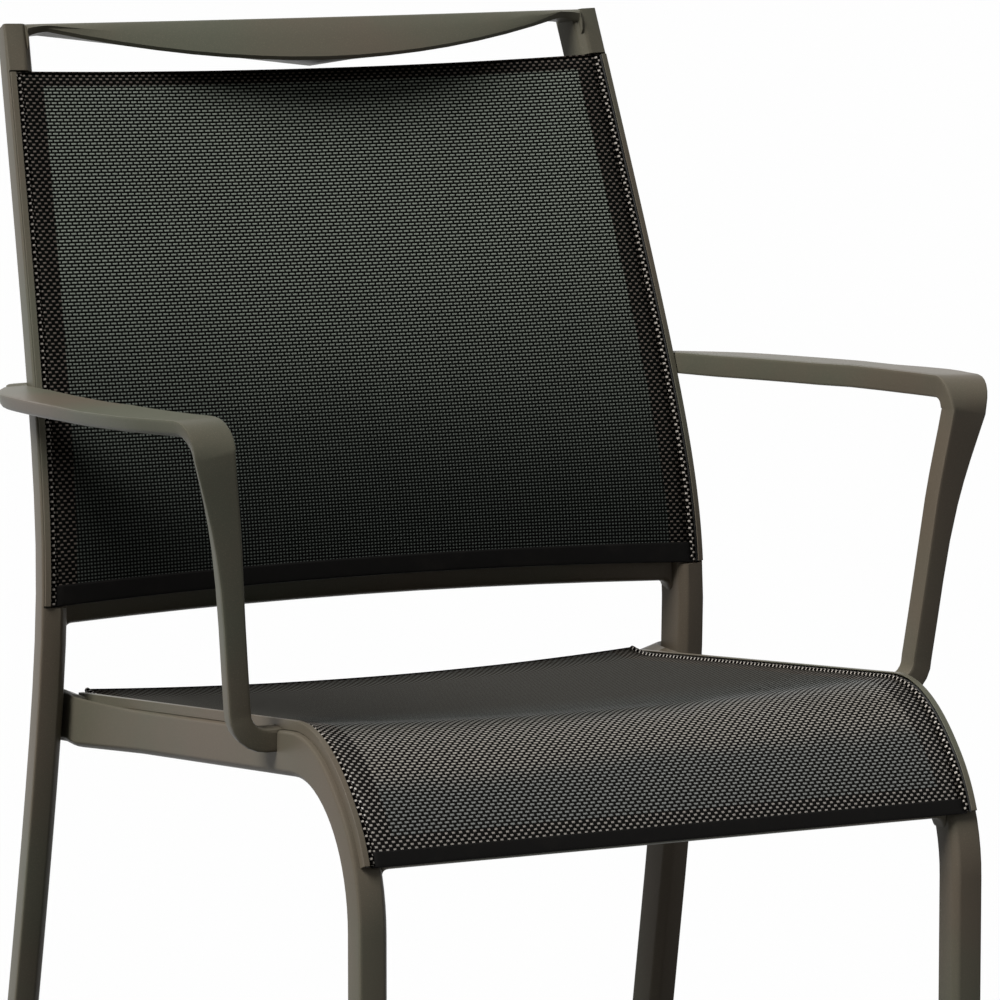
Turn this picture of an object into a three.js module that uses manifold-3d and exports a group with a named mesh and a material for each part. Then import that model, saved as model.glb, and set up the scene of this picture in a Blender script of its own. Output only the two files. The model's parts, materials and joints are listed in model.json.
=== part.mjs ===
// Sling patio chair: a welded tube frame with two mesh slings held in tracks.
// Millimetres, +Z up, the sitter faces -Y, and the left pieces stand on the -X side.
import * as THREE from "three";
import { mergeVertices } from "three/addons/utils/BufferGeometryUtils.js";
import Module from "manifold-3d";

const wasm = await Module();
wasm.setup();

// Frame tube
const tubeWidth = 21;
const tubeDepth = 22;
const tubeWall = 2;
const tubeFacet = 4;
const tubeSharpFacet = 1.5;
const tubeEase = 1;
const fitGap = 0.25;
const cutOverrun = 6;

// Rear posts: straight rake below, straight recline above, one long bend between
const chairHeight = 870;
const postWidth = 19;
const postDepth = 26.5;
const postOuterFacet = 1.2;
const postInnerFacet = 5.3;
const postRearFacet = 8.5;
const postHeelFacet = 1.5;
const postKneeHalf = 256.4;
const postConverge = 4.2;
const postSplay = 0.7;
const postKneeHeight = 504;
const postKneeReach = 114.3;
const postBendSize = 101;
const postRecline = 21.1;
const postRake = 12.4;
const postToe = 8;
const postCapWall = 7;

// Foot glides
const glideFlange = 6;
const glideStem = 20;
const glideLip = 0.8;
const glideEase = 1.5;
const glideFacet = 4;

// Seat rails: level run, bend over the front and front leg in one tube
const railFrontHalf = 215.5;
const railRearHalf = 210.5;
const railRear = 178;
const railUnderside = 415.5;
const railPitch = 5;
const railRunDepth = 29;
const bendStart = 186;
const bendReach = 74;
const bendDrop = 86.5;
const railFlare = 20;
const railFlareRun = 34;
const railLift = 5;
const railLiftRun = 30;

// Tracks, keder rods and sling edges
const trackWidth = 6.4;
const trackHeight = 6.4;
const trackBore = 4.8;
const trackWall = 0.8;
const trackBevel = 0.8;
const slotWidth = 2.6;
const backTrackInset = 1.6;
const backTrackSink = 4.6;
const backRebateEnd = 1.5;
const slingThickness = 0.8;
const kederWidth = 2.2;
const backSlingTopDrop = 32.5;
const backSlingLift = 15;
const seatSlingInset = 12;
const seatSlingDrop = 41.5;
const seatSag = 6;
const seatDraw = 8;
const backSag = 4;
const backTopDraw = 3;
const backBottomDraw = 6;

// Crest rail: two hand grips beside a deeper middle
const crestDepth = 21.5;
const crestMiddleDrop = 33;
const crestMiddleRearDrop = 29.8;
const crestGripDrop = 4.8;
const crestGripRearDrop = 3;
const crestBowPower = 1.95;
const crestGripAt = 198;
const crestBulge = 10;
const crestBow = 10;
const crestCorner = 12;
const crestFaceLead = 2.6;
const crestEase = 2;
const crestCrown = 1.6;

// Lower back rail, front and rear crossbars
const lowerRailBottom = 470;
const lowerRailHeight = 17;
const lowerRailDepth = 15;
const lowerRailSetback = 9.5;
const lowerRailBow = 20;
const lowerRailArch = 2.5;
const crossbarWall = 1.8;
const crossbarFacet = 3;
const cornerFillet = 7;
const frontBarDrop = 47.5;
const frontBarHeight = 20;
const frontBarSetback = 12;
const frontBarDepth = 18;
const rearBarLift = 3.35;
const rearBarHeight = 16;
const rearBarInset = 20;
const rearBarDepth = 17;

// Arms: flat tube from a stub on the post, over the front bend and down to the rail
const armTopHeight = 646;
const armRise = 13;
const armNeckHalf = 253;
const armNeckReach = 189;
const armShoulderHalf = 263;
const armShoulderReach = 158;
const armRearHalf = 271;
const armRearReach = 120;
const armMiddleHalf = 283;
const armMiddleReach = 20;
const armFrontHalf = 287;
const armWideReach = 100;
const armBendHalf = 279.5;
const armFrontReach = 181;
const armBendRadius = 24;
const armLegTopHalf = 275.5;
const armLegMiddleHalf = 263;
const armLegMiddleReach = 173.5;
const armLegMiddleHeight = 560;
const armLegFootHalf = 251;
const armTurn = 14;
const armTaperEnd = 520;
const armTaperPower = 1.5;
const armFootLift = 20.5;
const armFootRadius = 19;
const armFootReach = 163;
const armNeckWidth = 19;
const armTopWidth = 40;
const armBendWidth = 33;
const armLegWidth = 15.7;
const armInnerThickness = 16;
const armOuterThickness = 10;
const armLegThickness = 16;
const armUndercut = 3;
const armLegUndercut = 1.8;
const armNeckPower = 1.5;
const armRoll = 1.3;
const armEase = 2.4;
const armWall = 1.8;
const armRunSteps = 16;
const armLegSteps = 8;
const cornerShare = 0.29;
const stubLength = 8;
const stubSink = 7;
const stubSwell = 1.5;

const { degToRad, lerp, smoothstep } = THREE.MathUtils;
const acrossX = new THREE.Vector3(1, 0, 0);

// The whole numbers from nought to a count, as shares from nought to one.
function shares(count) {
  return Array.from({ length: count + 1 }, (_, step) => step / count);
}

function spread(from, to, count) {
  return shares(count).map((share) => lerp(from, to, share));
}

// A closed solid through matching outlines. A place has an origin and three directions,
// and an outline point is [across, out] or [across, out, along] from that origin.
function loft(places, outlineAt, holesAt = () => []) {
  const corners = [];
  const faces = [];
  const rings = places.map((place, index) => {
    const loops = [outlineAt(place, index), ...holesAt(place, index)];
    return loops.map((loop) => loop.map(([across, out, along = 0]) => {
      const corner = place.origin.clone().addScaledVector(place.across, across);
      corner.addScaledVector(place.out, out).addScaledVector(place.along, along);
      const number = corners.length;
      corners.push(corner);
      return number;
    }));
  });
  for (let index = 1; index < rings.length; index += 1) {
    rings[index].forEach((ring, loop) => {
      const before = rings[index - 1][loop];
      ring.forEach((corner, step) => {
        const next = (step + 1) % ring.length;
        faces.push(before[step], before[next], ring[next], before[step], ring[next], corner);
      });
    });
  }
  [0, places.length - 1].forEach((end, side) => {
    const loops = [outlineAt(places[end], end), ...holesAt(places[end], end)];
    const flat = loops.map((loop) => loop.map(([across, out]) => new THREE.Vector2(across, out)));
    const order = rings[end].flat();
    const spots = flat.flat();
    for (const [a, b, c] of THREE.ShapeUtils.triangulateShape(flat[0], flat.slice(1))) {
      const turn = THREE.ShapeUtils.area([spots[a], spots[b], spots[c]]) > 0;
      const facesBack = turn === (side === 0);
      faces.push(order[a], facesBack ? order[c] : order[b], facesBack ? order[b] : order[c]);
    }
  });
  return closedGeometry(corners, faces);
}

// Geometry from corners and triangles, turned so that its faces look outward.
function closedGeometry(corners, faces) {
  const geometry = new THREE.BufferGeometry().setFromPoints(corners);
  const cross = new THREE.Vector3();
  let volume = 0;
  for (let face = 0; face < faces.length; face += 3) {
    const [a, b, c] = faces.slice(face, face + 3).map((corner) => corners[corner]);
    volume += a.dot(cross.crossVectors(b, c));
  }
  geometry.setIndex(volume < 0 ? [...faces].reverse() : faces);
  return geometry;
}

function toSolid(geometry) {
  const merged = mergeVertices(geometry);
  return new wasm.Manifold(new wasm.Mesh({
    numProp: 3,
    vertProperties: new Float32Array(merged.attributes.position.array),
    triVerts: new Uint32Array(merged.index.array),
  }));
}

function toGeometry(solid) {
  const mesh = solid.getMesh();
  const geometry = new THREE.BufferGeometry();
  geometry.setAttribute("position", new THREE.BufferAttribute(mesh.vertProperties, mesh.numProp));
  geometry.setIndex(new THREE.BufferAttribute(mesh.triVerts, 1));
  return geometry;
}

function cutAway(geometry, ...tools) {
  return toGeometry(tools.reduce((solid, tool) => solid.subtract(toSolid(tool)), toSolid(geometry)));
}

function mirrored(geometry) {
  const copy = geometry.clone().scale(-1, 1, 1);
  copy.setIndex([...copy.index.array].reverse());
  return copy;
}

// A four-sided outline with its corners cut back, and both ends of each cut eased.
// The cuts run from the low left corner round by the right side.
function facetedOutline(left, right, low, high, facets, ease = 0) {
  const corner = (across, out, facet, acrossWay, outWay, outFirst) => {
    const soft = Math.min(ease, facet / 2);
    const points = ease === 0
      ? [[facet, 0], [0, facet]]
      : [[facet + soft, 0], [facet - soft, soft], [soft, facet - soft], [0, facet + soft]];
    const ordered = outFirst ? points.reverse() : points;
    return ordered.map(([sideways, upright]) => [across + acrossWay * sideways, out + outWay * upright]);
  };
  return [
    ...corner(left, low, facets[0], 1, 1, true),
    ...corner(right, low, facets[1], -1, 1, false),
    ...corner(right, high, facets[2], -1, -1, true),
    ...corner(left, high, facets[3], 1, -1, false),
  ];
}

function allCorners(facet) {
  return [facet, facet, facet, facet];
}

function tubeOutline(depth, grow, leftFlare) {
  const half = tubeWidth / 2 + grow;
  const facets = [tubeFacet, tubeSharpFacet, tubeFacet, tubeSharpFacet];
  return facetedOutline(-half - leftFlare, half, -depth - grow, grow, facets, tubeEase);
}

function boreOutline(depth) {
  const half = tubeWidth / 2 - tubeWall;
  return facetedOutline(-half, half, tubeWall - depth, -tubeWall, allCorners(tubeFacet - tubeWall / 2));
}

function postOutline(grow = 0) {
  const half = postWidth / 2 + grow;
  const facets = [postRearFacet, postHeelFacet, postInnerFacet, postOuterFacet];
  return facetedOutline(-half, half, -postDepth - grow, grow, facets, tubeEase);
}

function postBoreOutline(gap = 0) {
  const half = postWidth / 2 - tubeWall - gap;
  const high = -backTrackSink - fitGap - tubeWall - gap;
  const facets = [postRearFacet - tubeWall / 2, tubeWall, tubeWall, tubeWall];
  return facetedOutline(-half, half, tubeWall + gap - postDepth, high, facets);
}

function circle(across, out, radius, count, start = 0, turn = 2 * Math.PI) {
  const whole = Math.abs(turn) === 2 * Math.PI;
  const steps = shares(count).slice(0, whole ? count : count + 1);
  return steps.map((share) => {
    const angle = start + turn * share;
    return [across + radius * Math.cos(angle), out + radius * Math.sin(angle)];
  });
}

// Slides a place's directions along the tube so that its outline lies level at a height.
function levelled(place, height) {
  const slide = (vector, drop) => vector.clone().addScaledVector(place.along, -drop / place.along.z);
  return {
    origin: slide(place.origin, place.origin.z - height),
    across: slide(place.across, place.across.z),
    out: slide(place.out, place.out.z),
    along: place.along,
  };
}

// Rear posts: the front outer edge goes from one straight line to the other through the bend.
function postEdge(height) {
  const slope = (angle) => Math.tan(degToRad(angle)) / 2;
  const rise = height - postKneeHeight;
  const bend = Math.hypot(rise, postBendSize);
  const above = rise + bend;
  const below = bend - rise;
  return new THREE.Vector3(
    slope(postConverge) * above - slope(postSplay) * below - postKneeHalf,
    postKneeReach + slope(postRecline) * above + slope(postRake) * below,
    height,
  );
}

function postPlace(height) {
  const step = chairHeight / 1000;
  const along = postEdge(height - step).sub(postEdge(height + step)).normalize();
  const toe = degToRad(postToe);
  const across = new THREE.Vector3(Math.cos(toe), -Math.sin(toe), 0);
  across.addScaledVector(along, -across.dot(along)).normalize();
  const out = along.clone().cross(across);
  const origin = postEdge(height).addScaledVector(across, postWidth / 2);
  return { origin, across, out, along };
}

function postHeights() {
  const foot = glideFlange + fitGap;
  return [...spread(foot, postKneeHeight / 2, 2), ...spread(postKneeHeight / 2, chairHeight, 18).slice(1)];
}

function postPlaces(extra = 0) {
  const heights = postHeights();
  const places = heights.map(postPlace);
  places[0] = levelled(places[0], heights[0] - extra);
  return places;
}

function postBody(grow) {
  return loft(postPlaces(), () => postOutline(grow));
}

function makePost() {
  const places = postPlaces(cutOverrun);
  const end = places.at(-1);
  places[places.length - 1] = { ...end, origin: end.origin.clone().addScaledVector(end.along, postCapWall) };
  return cutAway(postBody(0), loft(places, () => postBoreOutline()), trackRebate());
}

// Seat rails
function bendAngleStart() {
  return -Math.atan(bendReach / bendDrop * Math.tan(degToRad(railPitch)));
}

function bendPoint(angle) {
  const centreHeight = railUnderside - bendDrop;
  const forward = bendStart + bendReach * Math.sin(angle);
  return new THREE.Vector3(0, -forward, centreHeight + bendDrop * Math.cos(angle));
}

function railHalfAt(reach) {
  return lerp(railRearHalf, railFrontHalf, (railRear - reach) / (railRear + bendStart));
}

// A place on the rail's upper face: its base point lies on the underside line.
function railPlace(base, out, depth) {
  const origin = base.clone().addScaledVector(out, depth);
  origin.x = -railHalfAt(Math.max(base.y, -bendStart));
  const along = new THREE.Vector3().crossVectors(acrossX, out);
  return { origin, across: acrossX, out, along, depth };
}

function railRunPlace(reach) {
  const pitch = degToRad(railPitch);
  const start = bendPoint(bendAngleStart());
  const base = new THREE.Vector3(0, reach, start.z - (reach - start.y) * Math.tan(pitch));
  return railPlace(base, new THREE.Vector3(0, Math.sin(pitch), Math.cos(pitch)), railRunDepth);
}

function railBendPlace(angle) {
  const out = new THREE.Vector3(0, -Math.sin(angle) / bendReach, Math.cos(angle) / bendDrop).normalize();
  const settled = smoothstep(angle, 0, Math.PI / 4);
  return railPlace(bendPoint(angle), out, lerp(railRunDepth, tubeDepth, settled));
}

function railLegPlace(height) {
  const base = new THREE.Vector3(0, -bendStart - bendReach, height);
  return railPlace(base, new THREE.Vector3(0, -1, 0), tubeDepth);
}

function railRunReaches() {
  const flareStart = railRear - railFlareRun;
  return [...spread(railRear, flareStart, 5), ...spread(flareStart, bendPoint(bendAngleStart()).y, 4).slice(1, -1)];
}

function railPlaces(foot = glideFlange + fitGap) {
  const run = railRunReaches().map(railRunPlace);
  const bend = spread(bendAngleStart(), Math.PI / 2, 18).map(railBendPlace);
  const leg = spread(railUnderside - bendDrop, foot, 3).slice(1).map(railLegPlace);
  return [...run, ...bend, ...leg];
}

// The rail widens and its underside lifts where it meets the rear post.
function railOutline(place, grow) {
  const flare = Math.max(0, (place.origin.y - railRear + railFlareRun) / railFlareRun);
  const lift = Math.max(0, (place.origin.y - railRear + railLiftRun) / railLiftRun);
  return tubeOutline(place.depth - railLift * lift, grow, railFlare * flare * flare);
}

function railBody(grow) {
  return loft(railPlaces(), (place) => railOutline(place, grow));
}

function makeRail() {
  const places = railPlaces(glideFlange - cutOverrun).slice(3);
  const bore = loft(places, (place) => boreOutline(place.depth));
  return cutAway(railBody(0), bore, postBody(fitGap));
}

// Tracks, keder rods and slings share one line: the middle of the track's bore.
// A track has the place of its outer edge across the tube and of its underside.
const seatTrack = { edge: tubeFacet - tubeWidth / 2, base: fitGap };
const backTrack = { edge: backTrackInset - postWidth / 2, base: -backTrackSink };
const beadWidth = trackBore - 2 * fitGap;
const backSlingTop = chairHeight - backSlingTopDrop;
const backSlingBottom = lowerRailBottom + backSlingLift;

function boreAcross(track) {
  return track.edge + trackWall + trackBore / 2;
}

function boreOut(track) {
  return track.base + trackWall + trackBore / 2;
}

function trackOutline(track) {
  const middle = boreOut(track);
  const right = track.edge + trackWidth;
  const top = track.base + trackHeight;
  const mouth = Math.asin(slotWidth / trackBore);
  const boreArc = circle(boreAcross(track), middle, trackBore / 2, 8, -mouth, 2 * mouth - 2 * Math.PI);
  return [
    [track.edge, track.base], [right, track.base], [right, middle - slotWidth / 2],
    ...boreArc,
    [right, middle + slotWidth / 2], [right, top], [track.edge + trackBevel, top],
    [track.edge, top - trackBevel],
  ];
}

function makeTrack(places, track) {
  return loft(places, () => trackOutline(track));
}

// The step in the post's face that takes the track and lets the sling pass inward.
function trackRebate() {
  const low = backTrack.base - fitGap;
  const left = backTrack.edge - fitGap;
  const side = postWidth / 2 + cutOverrun;
  const outline = [[left, cutOverrun], [left, low], [side, low], [side, cutOverrun]];
  const heights = [
    backSlingBottom - backRebateEnd, ...backHeights().slice(1, -1), backSlingTop + backRebateEnd,
  ];
  return loft(heights.map(postPlace), () => outline);
}

function backHeights() {
  return spread(backSlingBottom, backSlingTop, 17);
}

function backPlaces() {
  return backHeights().map(postPlace);
}

function seatPlaces() {
  const rear = railRear - seatSlingInset;
  const reaches = spread(rear, bendPoint(bendAngleStart()).y, 5).slice(0, -1);
  const reach = bendDrop + tubeDepth + boreOut(seatTrack);
  const end = Math.acos((bendDrop - seatSlingDrop) / reach);
  const bend = spread(bendAngleStart(), end, 15).map(railBendPlace);
  return [...reaches.map(railRunPlace), ...bend];
}

function makeKeder(places, track) {
  return loft(places, () => circle(boreAcross(track), boreOut(track), kederWidth / 2, 6));
}

// The sling's middle line: where the left bore passes, moved to the chair's middle.
function slingPlaces(places, track) {
  return places.map((place) => {
    const bore = place.origin.clone().addScaledVector(place.across, boreAcross(track));
    bore.addScaledVector(place.out, boreOut(track));
    const along = new THREE.Vector3(0, place.along.y, place.along.z).normalize();
    const out = along.clone().cross(acrossX);
    return { origin: new THREE.Vector3(0, bore.y, bore.z), across: acrossX, out, along, half: -bore.x };
  });
}

// A sheet with a loop along each side, where it wraps the keder rod.
function slingOutline(half, sag, draw) {
  const neck = Math.asin(slingThickness / beadWidth);
  const around = 2 * Math.PI - 2 * neck;
  const sheet = (across, side) => {
    const middle = 1 - (across / half) ** 2;
    return [across, side * slingThickness / 2 - sag * middle, draw * middle];
  };
  const inner = half - beadWidth;
  return [
    ...spread(-inner, inner, 6).map((across) => sheet(across, -1)),
    ...circle(half, 0, beadWidth / 2, 7, neck - Math.PI, around),
    ...spread(inner, -inner, 6).map((across) => sheet(across, 1)),
    ...circle(-half, 0, beadWidth / 2, 7, neck, around),
  ];
}

function slingHoles(half) {
  const radius = beadWidth / 2 - slingThickness;
  return [half, -half].map((across) => circle(across, 0, radius, 6, 0, -2 * Math.PI));
}

function makeSling(places, track, sagAt, drawAt) {
  const last = places.length - 1;
  const outline = (place, index) => slingOutline(place.half, sagAt(index / last), drawAt(index / last));
  return loft(slingPlaces(places, track), outline, (place) => slingHoles(place.half));
}

function makeBackSling() {
  const draw = (share) => (share < 1 / 2
    ? -backBottomDraw * (1 - 2 * share) ** 3
    : backTopDraw * (2 * share - 1) ** 3);
  return makeSling(backPlaces(), backTrack, () => backSag, draw);
}

function makeSeatSling() {
  const sag = (share) => seatSag * (1 - smoothstep(share, 1 / 3, 1));
  const draw = (share) => seatDraw * (1 - share) ** 6;
  return makeSling(seatPlaces(), seatTrack, sag, draw);
}

// Crest rail
function crestPlace(across) {
  const { origin, along } = postPlace(chairHeight);
  const upright = new THREE.Vector3(0, along.y, along.z).normalize();
  const out = upright.clone().cross(acrossX);
  const bow = crestBow * (1 - Math.min(1, Math.abs(across) / crestGripAt) ** 2);
  const level = new THREE.Vector3(across, postEdge(chairHeight).y - crestFaceLead - bow, origin.z);
  return { origin: level, across: upright, out, along: acrossX };
}

function crestOutline(place) {
  const inward = Math.abs(place.origin.x) / crestGripAt;
  const corner = Math.min(1, Math.max(0, Math.abs(place.origin.x) - crestGripAt) / crestCorner);
  const turned = crestCorner * (1 - Math.sqrt(1 - corner * corner));
  const share = Math.min(inward, 1);
  const bowed = share ** crestBowPower;
  const front = lerp(crestMiddleDrop, crestGripDrop, bowed) + turned;
  const rear = lerp(crestMiddleRearDrop, crestGripRearDrop, share) + turned;
  const bulge = crestBulge * (1 - bowed);
  const ease = crestEase;
  return [
    [0, -crestDepth + ease], [ease, -crestDepth],
    [rear - ease, -crestDepth], [rear, -crestDepth + ease],
    [front + ease / 2, bulge - ease], [front - ease / 2, bulge],
    [front / 2, bulge / 2 + crestCrown], [ease, ease / 4], [0, -ease],
  ];
}

function crestAcross() {
  const ear = crestGripAt + crestCorner;
  const right = [...spread(0, crestGripAt, 8), ...spread(crestGripAt, ear, 6).slice(1), ear + tubeFacet];
  return [...right.slice(1).reverse().map((across) => -across), ...right];
}

function makeCrest() {
  const body = loft(crestAcross().map(crestPlace), crestOutline);
  const post = postBody(fitGap);
  return cutAway(body, post, mirrored(post));
}

// Crossbars run along X between two side pieces, with a fillet at both ends.
function barPlaces(half, end, bottomAt, faceAt) {
  const fillet = spread(half - cornerFillet, half, 4).slice(1);
  const right = [...spread(0, half - cornerFillet, 5), ...fillet, end];
  const all = [...right.slice(1).reverse().map((across) => -across), ...right];
  return all.map((across) => ({
    origin: new THREE.Vector3(across, faceAt(across), bottomAt(across)),
    across: new THREE.Vector3(0, 0, 1),
    out: new THREE.Vector3(0, -1, 0),
    along: acrossX,
  }));
}

function filletAt(across, half) {
  const into = Math.min(1, Math.max(0, Math.abs(across) - half + cornerFillet) / cornerFillet);
  return cornerFillet * (1 - Math.sqrt(1 - into * into));
}

function makeBar(half, height, depth, bottomAt, faceAt, sides) {
  const end = half + tubeFacet;
  const outer = loft(barPlaces(half, end, bottomAt, faceAt), (place) => {
    const fillet = filletAt(place.origin.x, half);
    return facetedOutline(-fillet, height + fillet / 2, -depth, 0, allCorners(crossbarFacet), tubeEase);
  });
  const bore = loft(barPlaces(half, end + cutOverrun, bottomAt, faceAt), () => facetedOutline(
    crossbarWall, height - crossbarWall, crossbarWall - depth, -crossbarWall, allCorners(crossbarWall),
  ));
  return cutAway(outer, bore, sides, mirrored(sides));
}

function makeLowerRail() {
  const { origin, across: inward, out } = postPlace(lowerRailBottom);
  const side = origin.clone().addScaledVector(inward, postWidth / 2);
  const half = -side.addScaledVector(out, -lowerRailSetback - lowerRailDepth / 2).x;
  const middle = (across) => 1 - (across / half) ** 2;
  const bottom = (across) => lowerRailBottom + lowerRailArch * middle(across);
  const face = (across) => postEdge(lowerRailBottom).y + lowerRailSetback + lowerRailBow * middle(across);
  return makeBar(half, lowerRailHeight, lowerRailDepth, bottom, face, postBody(fitGap));
}

function makeFrontBar() {
  const half = railFrontHalf - tubeWidth / 2;
  const bottom = railUnderside - frontBarDrop;
  const face = frontBarSetback - bendStart - bendReach - tubeDepth;
  return makeBar(half, frontBarHeight, frontBarDepth, () => bottom, () => face, railBody(fitGap));
}

function makeRearBar() {
  const face = railRear - rearBarInset;
  const half = railHalfAt(face) - tubeWidth / 2;
  const { origin, out, depth } = railRunPlace(face);
  const bottom = origin.z - out.z * depth + rearBarLift;
  return makeBar(half, rearBarHeight, rearBarDepth, () => bottom, () => face, railBody(fitGap));
}

// Arms: the middle line of the upper face, which turns into the front face of the upright.
function armTopAt(reach) {
  return armTopHeight - armRise * (reach + armFrontReach) / (armRearReach + armFrontReach);
}

function armTopPoint(half, reach) {
  return new THREE.Vector3(-half, reach, armTopAt(reach));
}

function armLine() {
  const bendFrom = armTopPoint(armBendHalf, armBendRadius - armFrontReach);
  const run = new THREE.CatmullRomCurve3([
    armTopPoint(armNeckHalf, armNeckReach),
    armTopPoint(armShoulderHalf, armShoulderReach),
    armTopPoint(armRearHalf, armRearReach),
    armTopPoint(armMiddleHalf, armMiddleReach),
    armTopPoint(armFrontHalf, -armWideReach),
    bendFrom,
  ]).getPoints(armRunSteps);
  const bend = spread(0, Math.PI / 2, 7).slice(1).map((angle) => new THREE.Vector3(
    -lerp(armBendHalf, armLegTopHalf, Math.sin(angle)),
    bendFrom.y - armBendRadius * Math.sin(angle),
    bendFrom.z - armBendRadius * (1 - Math.cos(angle)),
  ));
  const footHeight = railUnderside + armFootLift;
  const footTop = new THREE.Vector3(-armLegFootHalf, -armFootReach, footHeight + armFootRadius);
  const leg = new THREE.CatmullRomCurve3([
    bend.at(-1), new THREE.Vector3(-armLegMiddleHalf, -armLegMiddleReach, armLegMiddleHeight), footTop,
  ]).getPoints(armLegSteps).slice(1);
  const foot = spread(0, Math.PI / 2, 6).slice(1).map((angle) => new THREE.Vector3(
    footTop.x + armFootRadius * (1 - Math.cos(angle)),
    footTop.y,
    footTop.z - armFootRadius * Math.sin(angle),
  ));
  const end = foot.at(-1).clone();
  end.x = tubeFacet - railFrontHalf - tubeWidth / 2;
  return [...run, ...bend, ...leg, ...foot, end];
}

// Directions carried along a line of points without twist; the upper face looks out.
function carriedPlaces(points, turnAt = () => 0) {
  const up = new THREE.Vector3(0, 0, 1);
  let across = up.clone().cross(points[1].clone().sub(points[0]));
  return points.map((origin, index) => {
    const before = points[Math.max(index - 1, 0)];
    const after = points[Math.min(index + 1, points.length - 1)];
    const along = after.clone().sub(before).normalize();
    across = across.clone().addScaledVector(along, -across.dot(along)).normalize();
    const turned = across.clone().applyAxisAngle(along, turnAt(origin));
    return { origin, across: turned, out: along.clone().cross(turned), along };
  });
}

function armPlaces() {
  const bendEnd = armTopAt(armBendRadius - armFrontReach) - armBendRadius;
  const bendTop = bendEnd + armBendRadius;
  const turn = (origin) => degToRad(armTurn) * (1 - smoothstep(origin.z, bendEnd, bendTop))
    * (origin.y < 0 ? 1 : 0);
  return carriedPlaces(armLine(), turn);
}

function armWidthAt({ y, z }) {
  if (y > armRearReach) {
    const narrowing = ((y - armRearReach) / (armNeckReach - armRearReach)) ** armNeckPower;
    return lerp(armTopWidth, armNeckWidth, narrowing);
  }
  const bendTop = armTopAt(armBendRadius - armFrontReach);
  if (y > armBendRadius - armFrontReach && z > armLegMiddleHeight) {
    return lerp(armTopWidth, armBendWidth, smoothstep(-y, armWideReach, armFrontReach - armBendRadius));
  }
  const share = Math.max(0, (z - armTaperEnd) / (bendTop - armTaperEnd));
  return lerp(armLegWidth, armBendWidth, share ** armTaperPower);
}

// Rounds each corner of an outline with the given ease.
function eased(corners, ease) {
  return corners.flatMap((corner, index) => {
    const here = new THREE.Vector2(...corner);
    const [before, after] = [-1, 1].map((step) => {
      const neighbour = corners[(index + step + corners.length) % corners.length];
      const way = new THREE.Vector2(...neighbour).sub(here);
      return way.setLength(Math.min(ease, way.length() / 3));
    });
    const middle = here.clone().addScaledVector(before, cornerShare).addScaledVector(after, cornerShare);
    return [here.clone().add(before), middle, here.clone().add(after)].map((point) => point.toArray());
  });
}

function armOutline(place, inset = 0, grow = 0) {
  const half = armWidthAt(place.origin) / 2 + grow - inset;
  const flat = smoothstep(place.origin.z, armTaperEnd, armTopHeight - armBendRadius);
  const inner = lerp(armLegThickness, armInnerThickness, flat) - inset + grow;
  const outer = lerp(armLegThickness, armOuterThickness, flat) - inset + grow;
  const roll = armRoll * flat;
  const undercut = lerp(armLegUndercut, armUndercut, flat);
  const corners = [
    [half, -inner], [half, grow - inset], [-half, grow - inset - roll], [undercut - half, -outer - roll],
  ];
  return inset > 0 ? corners : eased(corners, armEase);
}

function makeArm() {
  const places = armPlaces();
  const bore = places.map((place, index) => {
    const way = index === 0 ? -cutOverrun : cutOverrun;
    const atEnd = index === 0 || index === places.length - 1;
    return atEnd ? { ...place, origin: place.origin.clone().addScaledVector(place.along, way) } : place;
  });
  const body = loft(places, (place) => armOutline(place));
  return cutAway(body, loft(bore, (place) => armOutline(place, armWall)), railBody(fitGap), postBody(fitGap));
}

function makeStub() {
  const [neck] = armPlaces();
  const outward = new THREE.Vector3(-1, 0, 0).lerp(neck.along, 1 / 2).normalize();
  const places = [-stubLength - stubSink, -stubLength, -stubLength / 2, -fitGap].map((shift) => ({
    ...neck,
    origin: neck.origin.clone().addScaledVector(outward, shift),
  }));
  const swell = [stubSwell, stubSwell, 0, 0];
  const body = loft(places, (place, index) => armOutline({ ...place, origin: neck.origin }, 0, swell[index]));
  return cutAway(body, postBody(fitGap));
}

// Foot glides: a flange under the tube and a stem in its bore.
function makeGlide(placeAt, flangeAt, stem) {
  const levels = [
    [0, flangeAt(glideEase)], [glideEase, flangeAt(0)], [glideFlange, flangeAt(0)],
    [glideFlange, stem], [glideFlange + glideStem, stem],
  ];
  const places = levels.map(([height]) => placeAt(height));
  return loft(places, (place, index) => levels[index][1]);
}

function flangeOutline(width, depth, inset) {
  const half = width / 2 + glideLip - inset;
  return facetedOutline(-half, half, inset - depth - glideLip, glideLip - inset, allCorners(glideFacet));
}

function makeFrontGlide() {
  const half = tubeWidth / 2 - tubeWall - fitGap;
  const facets = allCorners(tubeFacet - tubeWall / 2);
  const stem = facetedOutline(-half, half, tubeWall + fitGap - tubeDepth, -tubeWall - fitGap, facets);
  return makeGlide(railLegPlace, (inset) => flangeOutline(tubeWidth, tubeDepth, inset), stem);
}

function makeRearGlide() {
  const placeAt = (height) => levelled(postPlace(height), height);
  return makeGlide(placeAt, (inset) => flangeOutline(postWidth, postDepth, inset), postBoreOutline(fitGap));
}

// Colours and the assembly
const finishes = {
  frame: { color: 0x5f574c, roughness: 0.42, metalness: 0.35 },
  sling: { color: 0x1c1b1a, roughness: 0.75, metalness: 0 },
  keder: { color: 0x2a2a29, roughness: 0.6, metalness: 0 },
  glide: { color: 0x151515, roughness: 0.55, metalness: 0 },
};

const chair = new THREE.Group();
chair.name = "sling_patio_chair";

function addPiece(name, geometry, finish) {
  geometry.computeVertexNormals();
  const mesh = new THREE.Mesh(geometry, new THREE.MeshStandardMaterial(finishes[finish]));
  mesh.name = name;
  chair.add(mesh);
}

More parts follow.
